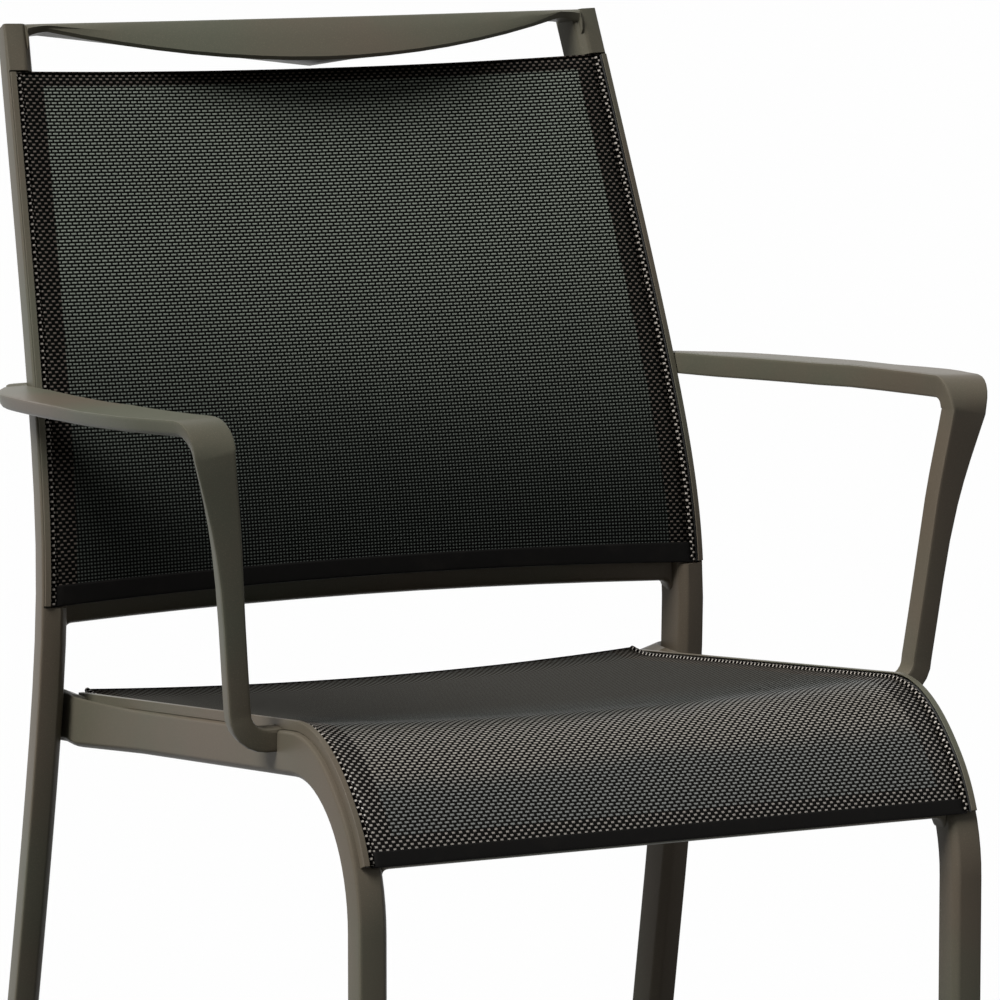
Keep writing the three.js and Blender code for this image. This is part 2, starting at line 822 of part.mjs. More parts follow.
function addPair(nameAt, geometry, finish) {
  addPiece(nameAt("left"), geometry, finish);
  addPiece(nameAt("right"), mirrored(geometry), finish);
}

addPair((side) => `${side}_rear_post`, makePost(), "frame");
addPair((side) => `${side}_seat_rail`, makeRail(), "frame");
addPair((side) => `${side}_arm`, makeArm(), "frame");
addPair((side) => `${side}_arm_stub`, makeStub(), "frame");
addPiece("crest_rail", makeCrest(), "frame");
addPiece("back_lower_rail", makeLowerRail(), "frame");
addPiece("front_crossbar", makeFrontBar(), "frame");
addPiece("rear_crossbar", makeRearBar(), "frame");
addPair((side) => `back_${side}_track`, makeTrack(backPlaces(), backTrack), "frame");
addPair((side) => `seat_${side}_track`, makeTrack(seatPlaces(), seatTrack), "frame");
addPair((side) => `back_${side}_keder`, makeKeder(backPlaces(), backTrack), "keder");
addPair((side) => `seat_${side}_keder`, makeKeder(seatPlaces(), seatTrack), "keder");
addPiece("back_sling", makeBackSling(), "sling");
addPiece("seat_sling", makeSeatSling(), "sling");
addPair((side) => `front_${side}_glide`, makeFrontGlide(), "glide");
addPair((side) => `rear_${side}_glide`, makeRearGlide(), "glide");

// The origin lies on the floor under the middle of the chair's outer size.
const outerBox = new THREE.Box3().setFromObject(chair);
const middleReach = (outerBox.min.y + outerBox.max.y) / 2;
chair.children.forEach((mesh) => mesh.geometry.translate(0, -middleReach, 0));

export default chair;
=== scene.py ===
import json
import math

import bpy
import numpy as np
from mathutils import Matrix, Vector


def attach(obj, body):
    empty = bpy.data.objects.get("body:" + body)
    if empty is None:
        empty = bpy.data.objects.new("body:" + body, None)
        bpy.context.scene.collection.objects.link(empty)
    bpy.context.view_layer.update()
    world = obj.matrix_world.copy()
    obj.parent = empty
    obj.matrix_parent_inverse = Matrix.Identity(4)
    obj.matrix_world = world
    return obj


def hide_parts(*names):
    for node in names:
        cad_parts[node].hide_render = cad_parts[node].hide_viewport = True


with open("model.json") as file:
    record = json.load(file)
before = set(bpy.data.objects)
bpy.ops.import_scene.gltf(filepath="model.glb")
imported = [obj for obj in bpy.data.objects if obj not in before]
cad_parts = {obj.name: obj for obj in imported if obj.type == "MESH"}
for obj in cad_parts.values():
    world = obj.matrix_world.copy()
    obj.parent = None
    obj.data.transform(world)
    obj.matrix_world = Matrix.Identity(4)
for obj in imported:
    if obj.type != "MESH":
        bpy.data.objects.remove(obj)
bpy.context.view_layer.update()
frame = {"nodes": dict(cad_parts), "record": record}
nodes = frame["nodes"]
print("frame loaded:", len(nodes), "nodes")

# Camera, at the photograph's angle and distance
cameraPlan = {
    "turn": -27.355,
    "rise": 7.213,
    "distance": 4.3832,
    "lookAt": (-0.00527, -0.04441, 0.56379),
    "lens": 238.21,
    "sensor": 36.0,
    "farthest": 200.0,
}


def placeCamera(plan):
    # it stands "distance" away from the point that it looks at, turned about Z and raised
    turn, rise = math.radians(plan["turn"]), math.radians(plan["rise"])
    back = Vector((math.sin(turn) * math.cos(rise), -math.cos(turn) * math.cos(rise), math.sin(rise)))
    data = bpy.data.cameras.new("photoCamera")
    data.lens = plan["lens"]
    data.sensor_width = plan["sensor"]
    data.clip_end = plan["farthest"]
    camera = bpy.data.objects.new("photoCamera", data)
    bpy.context.scene.collection.objects.link(camera)
    camera.location = Vector(plan["lookAt"]) + back * plan["distance"]
    camera.rotation_euler = (-back).to_track_quat("-Z", "Y").to_euler()
    bpy.context.scene.camera = camera


placeCamera(cameraPlan)
bpy.context.scene.view_settings.view_transform = "Standard"
print("camera placed")


# Shader maths: a Signal wraps a socket, and an expression on it adds its Math nodes
class Signal:
    def __init__(self, finish, socket):
        self.finish = finish
        self.socket = socket

    def math(self, operation, *others):
        return self.finish.add("Math", {"operation": operation}, [self, *others])

    def __add__(self, other):
        return self.math("ADD", other)

    def __sub__(self, other):
        return self.math("SUBTRACT", other)

    def __mul__(self, other):
        return self.math("MULTIPLY", other)

    def __truediv__(self, other):
        return self.math("DIVIDE", other)

    def __abs__(self):
        return self.math("ABSOLUTE")

    def __rsub__(self, other):
        return self.finish.add("Math", {"operation": "SUBTRACT"}, [other, self])

    __radd__ = __add__
    __rmul__ = __mul__


class Finish:
    # A node tree of a material or of the world
    def __init__(self, owner):
        owner.use_nodes = True
        self.owner = owner
        self.tree = owner.node_tree
        self.tree.nodes.clear()

    def add(self, kind, settings=None, inputs=(), output=0):
        node = self.tree.nodes.new("ShaderNode" + kind)
        for key, value in (settings or {}).items():
            setattr(node, key, value)
        pairs = inputs.items() if isinstance(inputs, dict) else enumerate(inputs)
        for key, value in pairs:
            socket = node.inputs[key]
            if isinstance(value, Signal):
                self.tree.links.new(value.socket, socket)
            elif value is not None:
                socket.default_value = value
        return Signal(self, node.outputs[output] if node.outputs else None)

    def blend(self, factor, first, second):
        # a Mix node's colours are its inputs 6 and 7, and their mix is its output 2
        settings = {"data_type": "RGBA"}
        values = {"Factor": factor, 6: first, 7: second}
        return self.add("Mix", settings, values, 2)

    def step(self, value, low, high):
        # rises smoothly from 0 at low to 1 at high
        settings = {"interpolation_type": "SMOOTHSTEP"}
        return self.add("MapRange", settings, {"Value": value, "From Min": low, "From Max": high})

    def noise(self, place, scale, detail):
        return self.add("TexNoise", {}, {"Vector": place, "Scale": scale, "Detail": detail})

    def objectPlace(self):
        return self.add("TexCoord", {}, (), "Object")

    def part(self, vector, axis):
        return self.add("SeparateXYZ", {}, [vector], axis)

    def bump(self, height, strength, distance):
        return self.add("Bump", {}, {"Height": height, "Strength": strength, "Distance": distance})

    def straightRays(self):
        # 1 for camera, glossy and transmission rays, 0 for all others
        camera = self.add("LightPath", {}, (), "Is Camera Ray")
        glossy = self.add("LightPath", {}, (), "Is Glossy Ray")
        through = self.add("LightPath", {}, (), "Is Transmission Ray")
        return camera.math("MAXIMUM", glossy).math("MAXIMUM", through)

    def surface(self, **sockets):
        names = {key.replace("_", " "): value for key, value in sockets.items()}
        shader = self.add("BsdfPrincipled", {}, names)
        self.add("OutputMaterial", {}, {"Surface": shader})
        return self.owner


def newFinish(name):
    return Finish(bpy.data.materials.new(name))


def rgb(*channels):
    # screen values from 0 to 255 as the linear colour that a shader takes, by the sRGB curve
    shares = np.array(channels) / 255
    linear = np.where(shares <= 0.04045, shares / 12.92, ((shares + 0.055) / 1.055) ** 2.4)
    return (*linear.tolist(), 1.0)


# Powder coat of the frame: olive bronze, a little uneven, with a fine orange peel
coatPlan = {
    "warm": rgb(96, 87, 75),
    "cool": rgb(88, 89, 76),
    "fleck": rgb(124, 114, 99),
    "patches": {"scale": 5.0, "detail": 4.0, "from": 0.35, "to": 0.65},
    "flecks": {"scale": 1500.0, "detail": 2.0, "from": 0.5, "to": 0.8, "share": 0.4},
    "peel": {"scale": 900.0, "detail": 1.0, "strength": 0.3, "depth": 0.00005},
    "roughness": (0.34, 0.46),
    "specular": 0.12,
}


def powderCoat():
    make = newFinish("powderCoat")
    place = make.objectPlace()
    large, fine, skin = coatPlan["patches"], coatPlan["flecks"], coatPlan["peel"]
    patches = make.noise(place, large["scale"], large["detail"])
    grain = make.noise(place, fine["scale"], fine["detail"])
    peel = make.noise(place, skin["scale"], skin["detail"])
    tone = make.blend(make.step(patches, large["from"], large["to"]), coatPlan["warm"], coatPlan["cool"])
    flecks = make.step(grain, fine["from"], fine["to"]) * fine["share"]
    low, high = coatPlan["roughness"]
    return make.surface(
        Base_Color=make.blend(flecks, tone, coatPlan["fleck"]),
        Metallic=0.0,
        Roughness=patches * (high - low) + low,
        Specular_IOR_Level=coatPlan["specular"],
        Normal=make.bump(peel, skin["strength"], skin["depth"]),
    )


# Woven sling: flat weft dashes in a brick pattern over dark warp, in metres along and across the cloth
weavePlan = {
    "across": 0.0050,
    "along": 0.00245,
    "stagger": 0.5,
    "relief": 0.0004,
    "raised": 0.7,
    "sideHem": 0.0175,
    "hemBlur": 0.0006,
    "beads": 0.0044,
    "beadBlur": 0.0004,
    "sunkMiddle": (0.07, 0.18),
    "wearAndLightEdge": {"scale": 9.0, "detail": 4.0, "drift": 0.05},
    "fibre": {"scale": 1800.0, "detail": 2.0, "least": 0.42, "more": 0.8},
    "grazingSheenShare": 0.5,
    "roughness": (0.75, 0.55),
    "glossRoughness": 0.28,
    "glossFade": 0.03,
}
# Each place where the cloth shows has its own tones. "weft" goes from dull to bright inside the
# paintedLight
# range, painted light: on the back its top is painted lighter, on the seat a painted highlight runs along
# the front bend. "warp" goes from dark to pale over the matte range, a painted sheen toward the
# seat's rear where the cloth is seen low. Both ranges are in metres from the cloth's hemmed end.
# "glintBeadWeft" is brighter than the cloth's own weft, a painted highlight for the glints along the rolled
# edges.
# "dash" and "hemDash" say where a dash's ends and sides fade, as shares of the pattern's cell
clothPlans = {
    "backCloth": {
        "warp": (rgb(14, 15, 14), rgb(14, 15, 14)),
        "weft": (rgb(96, 101, 96), rgb(158, 165, 153)),
        "hemWeft": rgb(118, 109, 101),
        "glintBeadWeft": rgb(150, 141, 132),
        "dash": (0.30, 0.43, 0.12, 0.36),
        "hemDash": (0.15, 0.30),
        "endHem": 0.0095,
        "paintedLight": (-0.02, -0.01, 0.11, 0.34),
        "matte": (0.6, 0.7),
        "sunk": 0.9,
        "gloss": 0.10,
    },
    "seatCloth": {
        "warp": (rgb(22, 21, 20), rgb(46, 43, 39)),
        "weft": (rgb(132, 134, 130), rgb(170, 164, 154)),
        "hemWeft": rgb(160, 154, 146),
        "glintBeadWeft": rgb(168, 160, 150),
        "dash": (0.20, 0.38, 0.12, 0.40),
        "hemDash": (0.13, 0.28),
        "endHem": 0.0185,
        "paintedLight": (0.050, 0.075, 0.095, 0.135),
        "matte": (0.13, 0.24),
        "sunk": 0.0,
        "gloss": 0.9,
    },
    "hemCloth": {
        "warp": (rgb(14, 13, 12), rgb(14, 13, 12)),
        "weft": (rgb(78, 70, 64), rgb(86, 78, 72)),
        "hemWeft": rgb(82, 74, 68),
        "glintBeadWeft": rgb(82, 74, 68),
        "dash": (0.15, 0.30, 0.10, 0.36),
        "hemDash": (0.15, 0.30),
        "endHem": 0.0,
        "paintedLight": (0.1, 0.2, 0.5, 0.6),
        "matte": (0.6, 0.7),
        "sunk": 0.0,
        "gloss": 0.05,
    },
    # the rolled edges: the cloth's own weave with brighter dashes, a painted highlight for their glints
    "glintBeadCloth": {
        "warp": (rgb(10, 9, 8), rgb(10, 9, 8)),
        "weft": (rgb(162, 154, 144), rgb(172, 164, 154)),
        "hemWeft": rgb(190, 182, 172),
        "glintBeadWeft": rgb(190, 182, 172),
        "dash": (0.16, 0.32, 0.14, 0.38),
        "hemDash": (0.16, 0.32),
        "endHem": 0.0,
        "paintedLight": (0.1, 0.2, 0.5, 0.6),
        "matte": (0.6, 0.7),
        "sunk": 0.0,
        "gloss": 0.5,
    },
}


def wovenCloth(name):
    plan, weave = clothPlans[name], weavePlan
    lightEdgePlan, fibrePlan = weave["wearAndLightEdge"], weave["fibre"]
    make = newFinish(name)
    uv = make.add("UVMap", {"uv_map": "cloth"})
    rim = make.add("UVMap", {"uv_map": "rim"})
    across = make.part(uv, "X") / weave["across"]
    along = make.part(uv, "Y") / weave["along"]
    fromSide = make.part(rim, "X")
    fromEnd = make.part(rim, "Y")
    blur = weave["hemBlur"]
    inward = make.step(fromSide, weave["sideHem"] - blur, weave["sideHem"] + blur)
    inward = inward * make.step(fromEnd, plan["endHem"] - blur, plan["endHem"] + blur)
    stagger = along.math("FLOOR").math("FLOORED_MODULO", 2.0) * weave["stagger"]
    side = abs((across + stagger).math("FRACT") - 0.5)
    rise = abs(along.math("FRACT") - 0.5)
    longFrom, longTo, tallFrom, tallTo = plan["dash"]
    hemFrom, hemTo = plan["hemDash"]
    longFrom, longTo = inward * (longFrom - hemFrom) + hemFrom, inward * (longTo - hemTo) + hemTo
    place = make.objectPlace()
    # this noise only moves the edges of the painted light below
    wearAndLightEdge = make.noise(place, lightEdgePlan["scale"], lightEdgePlan["detail"])
    fibre = make.noise(place, fibrePlan["scale"], fibrePlan["detail"])
    # painted light: inside this range the weft is brighter, on the back toward its top, and on the seat
    # along its front bend as a painted highlight
    risesAt, bright, falls, dull = plan["paintedLight"]
    wornAndLightEdge = fromEnd + (wearAndLightEdge - 0.5) * lightEdgePlan["drift"]
    paintedLight = make.step(wornAndLightEdge, risesAt, bright) * (1 - make.step(wornAndLightEdge, falls, dull))
    # where the painted light is dull each dash reads as two dots, its middle sunk under the warp
    sunk = (1 - paintedLight) * inward * plan["sunk"] * (1 - make.step(side, *weave["sunkMiddle"]))
    dash = (1 - make.step(side, longFrom, longTo)) * (1 - make.step(rise, tallFrom, tallTo)) * (1 - sunk)
    weft = make.blend(paintedLight, *plan["weft"])
    weft = make.blend(inward, plan["hemWeft"], weft)
    # beside the rolled edge the weft turns brighter, a painted highlight for the glints there
    pastBeads = make.step(fromSide, weave["beads"] - weave["beadBlur"], weave["beads"])
    weft = make.blend(pastBeads, plan["glintBeadWeft"], weft)
    # painted sheen: toward the seat's rear the warp turns paler and the dashes fainter, as the cloth looks
    # when seen low
    matte = make.step(fromEnd, *plan["matte"])
    warp = make.blend(matte, *plan["warp"])
    shown = dash * (fibrePlan["least"] + fibre * fibrePlan["more"]) * (1 - matte * weave["grazingSheenShare"])
    rough, smoother = weave["roughness"]
    glossy = 1 - make.step(fromEnd, falls, dull + weave["glossFade"])
    return make.surface(
        Base_Color=make.blend(shown, warp, weft),
        Roughness=rough - dash * (rough - smoother),
        Specular_IOR_Level=0.0,
        Coat_Weight=dash * plan["gloss"] * glossy,
        Coat_Roughness=weave["glossRoughness"],
        Normal=make.bump(dash * (1 - matte), weave["raised"], weave["relief"]),
    )


# Binding along the cut edges: a smooth black strip with a fine lengthwise rib
bindingPlan = {
    "colour": rgb(13, 12, 11),
    "wornAndLightEdge": rgb(26, 24, 22),
    "wearAndLightEdge": {"scale": 40.0, "detail": 4.0, "from": 0.5, "to": 0.75, "share": 0.6},
    "roughness": (0.5, 0.65),
    "specular": 0.06,
    "ribs": {"perMetre": 1500.0, "strength": 0.3, "depth": 0.0001},
}


def bindingStrip():
    make = newFinish("bindingStrip")
    wearAndLightEdge, ribs = bindingPlan["wearAndLightEdge"], bindingPlan["ribs"]
    along = make.part(make.add("UVMap", {"uv_map": "cloth"}), "Y")
    rib = (along * ribs["perMetre"] * math.tau).math("SINE")
    wornAndLightEdge = make.noise(make.objectPlace(), wearAndLightEdge["scale"], wearAndLightEdge["detail"])
    rubbed = make.step(wornAndLightEdge, wearAndLightEdge["from"], wearAndLightEdge["to"]) * wearAndLightEdge["share"]
    low, high = bindingPlan["roughness"]
    return make.surface(
        Base_Color=make.blend(rubbed, bindingPlan["colour"], bindingPlan["wornAndLightEdge"]),
        Roughness=wornAndLightEdge * (high - low) + low,
        Specular_IOR_Level=bindingPlan["specular"],
        Normal=make.bump(rib, ribs["strength"], ribs["depth"]),
    )


# Moulded plastic of the cord rods and of the glides: fine grain, scuffed in patches
plasticPlans = {
    "kederRod": {"colour": rgb(38, 38, 37), "scuffed": rgb(60, 59, 57), "grainScale": 900.0},
    "glidePlastic": {"colour": rgb(26, 26, 26), "scuffed": rgb(58, 56, 53), "grainScale": 700.0},
}
mouldPlan = {
    "grain": {"detail": 2.0, "strength": 0.4, "depth": 0.00008},
    "scuff": {"scale": 60.0, "detail": 5.0, "from": 0.5, "to": 0.8},
    "roughness": (0.45, 0.65),
}


def mouldedPlastic(name):
    plan, fine, large = plasticPlans[name], mouldPlan["grain"], mouldPlan["scuff"]
    make = newFinish(name)
    place = make.objectPlace()
    grain = make.noise(place, plan["grainScale"], fine["detail"])
    scuff = make.noise(place, large["scale"], large["detail"])
    low, high = mouldPlan["roughness"]
    rubbed = make.step(scuff, large["from"], large["to"])
    return make.surface(
        Base_Color=make.blend(rubbed, plan["colour"], plan["scuffed"]),
        Roughness=scuff * (high - low) + low,
        Normal=make.bump(grain, fine["strength"], fine["depth"]),
    )


finishes = {
    "frame": powderCoat(),
    **{name: wovenCloth(name) for name in clothPlans},
    "binding": bindingStrip(),
    "keder": mouldedPlastic("kederRod"),
    "glide": mouldedPlastic("glidePlastic"),
}
print("materials made")


# Meshes from whole arrays
def gridFaces(rows, columns, closed=False):
    # the four corners of each cell of a grid; a closed grid joins its last column to its first
    wide = columns if closed else columns - 1
    row, column = np.meshgrid(np.arange(rows - 1), np.arange(wide), indexing="ij")
    after = (column + 1) % columns
    low, high = row * columns, (row + 1) * columns
    return np.stack([low + column, low + after, high + after, high + column], -1).reshape(-1, 4)


def newPiece(name, points, faces, finish, uv=None):
    # a piece on the chair's one body; uv holds a place for each point under each map's name
    mesh = bpy.data.meshes.new(name)
    mesh.from_pydata(points.reshape(-1, 3), [], faces)
    for title, places in (uv or {}).items():
        layer = mesh.uv_layers.new(name=title)
        layer.data.foreach_set("uv", places.reshape(-1, 2)[faces.ravel()].ravel())
    mesh.shade_smooth()
    mesh.materials.append(finishes[finish])
    piece = bpy.data.objects.new(name, mesh)
    bpy.context.scene.collection.objects.link(piece)
    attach(piece, "root")
    return piece


def outward(points, faces):
    # the faces of a closed piece, turned so that its volume is positive
    a, b, c, d = (points.reshape(-1, 3)[faces[:, corner]] for corner in range(4))
    volume = (np.cross(a, b) * c).sum() + (np.cross(a, c) * d).sum()
    return faces if volume > 0 else faces[:, ::-1]


def thicken(piece, thickness):
    # half of the wall on each side of the surface
    wall = piece.modifiers.new("wall", "SOLIDIFY")
    wall.thickness = thickness
    wall.offset = 0
    return piece


# The frame's own pieces: merged copies of the solids, smooth along a tube and crisp across its corners.
# "merge" is how near points fall together, and edges under "smoothUnder" degrees are shaded smooth
framePlan = {"merge": 0.00002, "smoothUnder": 32.0}
# The crest's rounded corners, as distances from the chair's middle
cornerPlan = {"from": 0.1985, "to": 0.206, "postSide": 0.2132, "overlap": 0.0004}
# The rail's rear end. "side" is how far out the solid's outer side stands at the places "at" along it.
# The end is widened by "widen" over "run", and its shoulder beside the track rises by "rises" at
# "risesAt". Each "From" or "foot" is where a change sets in, and its "Blend" the way to the full change
flarePlan = {
    "at": (0.063, 0.144, 0.151, 0.158, 0.165, 0.170, 0.180),
    "side": (0.2222, 0.2219, 0.2229, 0.2258, 0.2303, 0.2345, 0.2441),
    "from": 0.2105,
    "blend": 0.009,
    "run": 0.081,
    "widen": 0.0098,
    "shoulderFrom": 0.2185,
    "shoulderBlend": 0.002,
    "foot": 0.402,
    "footBlend": 0.008,
    "risesAt": (0.063, 0.144, 0.172),
    "rises": (0.0, 0.0062, 0.0105),
}


def smooth(share):
    # the cubic that leaves 0 and reaches 1 level
    share = np.clip(share, 0, 1)
    return share * share * (3 - 2 * share)


def widenCorners(places):
    # between "from" and "to" the crest is stretched evenly as far as the posts, and past that it overlaps
    far = np.abs(places[:, 0])
    inner, outer, post = cornerPlan["from"], cornerPlan["to"], cornerPlan["postSide"]
    stretched = inner + (far - inner) * (post - inner) / (outer - inner)
    beyond = np.maximum(far, post) + cornerPlan["overlap"]
    wide = np.where(far > outer, beyond, np.where(far > inner, stretched, far))
    return np.stack([np.sign(places[:, 0]) * wide, places[:, 1], places[:, 2]], -1)


def flareRails(places):
    # each rail widens toward the post that it is welded to, and the widened end rises beside the track
    plan = flarePlan
    x, y, z = places.T
    far = np.abs(x)
    side = np.interp(y, plan["at"], plan["side"])
    flared = plan["side"][0] + plan["widen"] * smooth((y - plan["at"][0]) / plan["run"])
    share = smooth((far - plan["from"]) / plan["blend"])
    wide = far + share * np.maximum(flared - side, 0)
    shoulder = smooth((far - plan["shoulderFrom"]) / plan["shoulderBlend"])
    shoulder = shoulder * smooth((z - plan["foot"]) / plan["footBlend"])
    rise = np.interp(y, plan["risesAt"], plan["rises"])
    return np.stack([np.sign(x) * wide, y, z + shoulder * rise], -1)


reshaped = {"crest_rail": widenCorners, "left_seat_rail": flareRails, "right_seat_rail": flareRails}


def mergedCopy(node, slot):
    # the solid's triangles with points that fall together made one, and thin triangles dropped
    source = nodes[node].data
    places = np.empty(len(source.vertices) * 3, np.float32)
    source.vertices.foreach_get("co", places)
    corners = np.empty(len(source.loops), np.int32)
    source.loops.foreach_get("vertex_index", corners)
    places = places.reshape(-1, 3)
    keys = np.round(places / framePlan["merge"]).astype(np.int64)
    _, first, same = np.unique(keys, axis=0, return_index=True, return_inverse=True)
    faces = same.ravel()[corners].reshape(-1, 3)
    a, b, c = faces.T
    faces = faces[(a != b) & (b != c) & (a != c)]
    points = reshaped.get(node, np.copy)(places[first])
    piece = newPiece(node + "_finished", points, faces, slot)
    piece.data.set_sharp_from_angle(angle=math.radians(framePlan["smoothUnder"]))
    weighted = piece.modifiers.new("crisp", "WEIGHTED_NORMAL")
    weighted.keep_sharp = True
    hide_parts(node)


madeAnew = ("_sling", "_track")  # further down
for entry in frame["record"]["subparts"]:
    if not entry["node"].endswith(madeAnew):
        mergedCopy(entry["node"], entry["material_slot"])
print("frame pieces dressed")

# The rear post's outer front edge and the seat rail's line, as the solids have them, in metres and
# degrees. "track" is where a track's corner stands on the post's front face or on the rail's top
postPlan = {
    "height": 0.870,
    "width": 0.019,
    "kneeHalf": 0.2564,
    "converge": 4.2,
    "splay": 0.7,
    "kneeHeight": 0.504,
    "kneeReach": 0.1143,
    "bendSize": 0.101,
    "recline": 21.1,
    "rake": 12.4,
    "toe": 8.0,
    "track": (-0.0079, -0.0046),
    "rows": 120,
}
railPlan = {
    "frontHalf": 0.2155,
    "rearHalf": 0.2105,
    "rear": 0.178,
    "underside": 0.4155,
    "pitch": 5.0,
    "runDepth": 0.029,
    "legDepth": 0.022,
    "bendStart": 0.186,
    "bendReach": 0.074,
    "bendDrop": 0.0865,
    "track": (-0.0065, 0.00025),
    "runRows": 120,
    "bendRows": 160,
}
trackPlan = {
    "width": 0.0064,
    "height": 0.0064,
    "wall": 0.0008,
    "lip": 0.0041,
    "bore": 0.0032,
    "loopShift": 0.0034,
    "softEdge": 0.0003,
}


def unit(vectors):
    # each vector over its own length
    return vectors / np.linalg.norm(vectors, axis=-1, keepdims=True)


def postEdge(height):
    # hyperbolas from the lower straight line to the upper one, for the reach and for the half width
    angles = ("recline", "rake", "converge", "splay")
    slope = {key: math.tan(math.radians(postPlan[key])) / 2 for key in angles}
    rise = height - postPlan["kneeHeight"]
    bend = np.hypot(rise, postPlan["bendSize"])
    above, below = rise + bend, bend - rise
    half = postPlan["kneeHalf"] + slope["splay"] * below - slope["converge"] * above
    reach = postPlan["kneeReach"] + slope["recline"] * above + slope["rake"] * below
    return np.stack([-half, reach, height], -1)


def postPlaces(bottom, top):
    # the front face's middle line on the left post, with its directions
    height = np.linspace(bottom, top, postPlan["rows"])
    step = postPlan["height"] / 1000  # short enough for the slope
    along = unit(postEdge(height - step) - postEdge(height + step))
    toe = math.radians(postPlan["toe"])
    across = np.array([math.cos(toe), -math.sin(toe), 0])
    across = unit(across - along * (along @ across)[:, None])
    origin = postEdge(height) + across * (postPlan["width"] / 2)
    return {"origin": origin, "across": across, "out": np.cross(along, across), "along": along}


def railPlaces(rear, lowest):
    # the upper face's middle line on the left rail: a straight run, then an ellipse over the front
    plan = railPlan
    pitch = math.radians(plan["pitch"])
    startAngle = -math.atan(plan["bendReach"] / plan["bendDrop"] * math.tan(pitch))
    bore = plan["track"][1] + trackPlan["bore"]
    reach = plan["bendDrop"] + plan["legDepth"] + bore
    endAngle = math.acos((lowest - plan["underside"] + plan["bendDrop"]) / reach)
    angle = np.linspace(startAngle, endAngle, plan["bendRows"])
    centre = plan["underside"] - plan["bendDrop"]
    zero = np.zeros_like(angle)
    bend = np.stack([
        zero,
        -plan["bendStart"] - plan["bendReach"] * np.sin(angle),
        centre + plan["bendDrop"] * np.cos(angle),
    ], -1)
    steep, level = np.cos(angle) / plan["bendDrop"], -np.sin(angle) / plan["bendReach"]
    bendOut = unit(np.stack([zero, level, steep], -1))
    settled = smooth(angle / (math.pi / 4))  # the tube has its leg's depth after an eighth of a turn
    depth = plan["runDepth"] + (plan["legDepth"] - plan["runDepth"]) * settled
    y = np.linspace(rear, bend[0, 1], plan["runRows"])[:-1]
    run = np.stack([np.zeros_like(y), y, bend[0, 2] - (y - bend[0, 1]) * math.tan(pitch)], -1)
    base = np.concatenate([run, bend])
    out = np.concatenate([np.tile([0, math.sin(pitch), math.cos(pitch)], (len(y), 1)), bendOut])
    origin = base + out * np.concatenate([np.full(len(y), plan["runDepth"]), depth])[:, None]
    forward = plan["rear"] - np.maximum(base[:, 1], -plan["bendStart"])
    share = forward / (plan["rear"] + plan["bendStart"])
    origin[:, 0] = -(plan["rearHalf"] + (plan["frontHalf"] - plan["rearHalf"]) * share)
    turned = np.concatenate([np.zeros(len(y)), angle - startAngle])
    return {
        "origin": origin,
        "across": np.tile([1.0, 0, 0], (len(base), 1)),
        "out": out,
        "along": np.cross(np.array([1.0, 0, 0]), out),
        "turned": turned[:, None] / (endAngle - startAngle),
        "reach": base[:, 1:2],
    }


def clothLine(places, track):
    # the sling's middle line: the left bore moved to the chair's middle, and how far out it lies
    bore = places["origin"] + places["across"] * (track[0] + trackPlan["bore"])
    bore = bore + places["out"] * (track[1] + trackPlan["bore"])
    inPlane = unit(places["along"] * np.array([0, 1, 1]))
    origin = bore * np.array([0, 1, 1])
    steps = np.linalg.norm(np.diff(origin, axis=0), axis=1)
    return {
        **places,
        "s": np.concatenate([[0], np.cumsum(steps)]),
        "origin": origin,
        "along": inPlane,
        "out": np.cross(inPlane, np.array([1.0, 0, 0])),
        "half": -bore[:, :1] - trackPlan["loopShift"],
    }


def onLine(line, key, s):
    # a column of the line's arrays at the distances s; past an end it goes straight on
    table = line[key]
    found = np.stack([np.interp(s, line["s"], column) for column in table.T], -1)
    if key == "origin":
        after = np.clip(s - line["s"][-1], 0, None)[:, None] * line["along"][-1] * line["way"]
        before = np.clip(s - line["s"][0], None, 0)[:, None] * line["along"][0] * line["way"]
        found = found + after + before
    return found


def clothPoints(line, s, x, off):
    # the sheet at distances s along it and places x across it, raised by off from its middle; across it
    # the sag and the end's inward draw are parabolas, full in the middle and none at the rolled edges
    s, x, off = np.broadcast_arrays(s, x, off)
    tables = ("origin", "along", "out", "half", "sag", "draw")
    parts = {key: onLine(line, key, s.ravel()) for key in tables}
    middle = 1 - np.clip(x.ravel()[:, None] / parts["half"], -1, 1) ** 2
    points = parts["origin"] + parts["out"] * (off.ravel()[:, None] - parts["sag"] * middle)
    points = points + parts["along"] * parts["draw"] * middle
    points[:, 0] += x.ravel()
    return points.reshape(*s.shape, 3)


# The slings: where each begins and ends, how far it sags, and how far its ends are drawn in mid-way
backPlan = {
    "bottom": 0.4850,
    "top": 0.8375,
    "sag": 0.004,
    "topDraw": 0.003,
    "bottomDraw": 0.006,
    "folds": 0.018,
    "rows": 60,
    "rollRows": 160,
}
seatPlan = {
    "rear": 0.166,
    "lowest": 0.374,
    "sag": 0.006,
    "sagUntil": 1 / 3,
    "sagFade": 2 / 3,
    "draw": 0.008,
    "rearLift": 0.0042,
    "liftRun": 0.030,
    "folds": 0.036,
    "runShare": 0.25,
    "rows": 90,
    "rollRows": 220,
}
sheetPlan = {
    "thickness": 0.00055,
    "columns": 60,
    "roll": 0.0020,
    "rollFacets": 16,
    "rollShort": 0.0004,
    "tuck": 0.0008,
    "sideHem": 0.019,
    "flapGap": 0.0008,
    "flapColumns": 8,
}
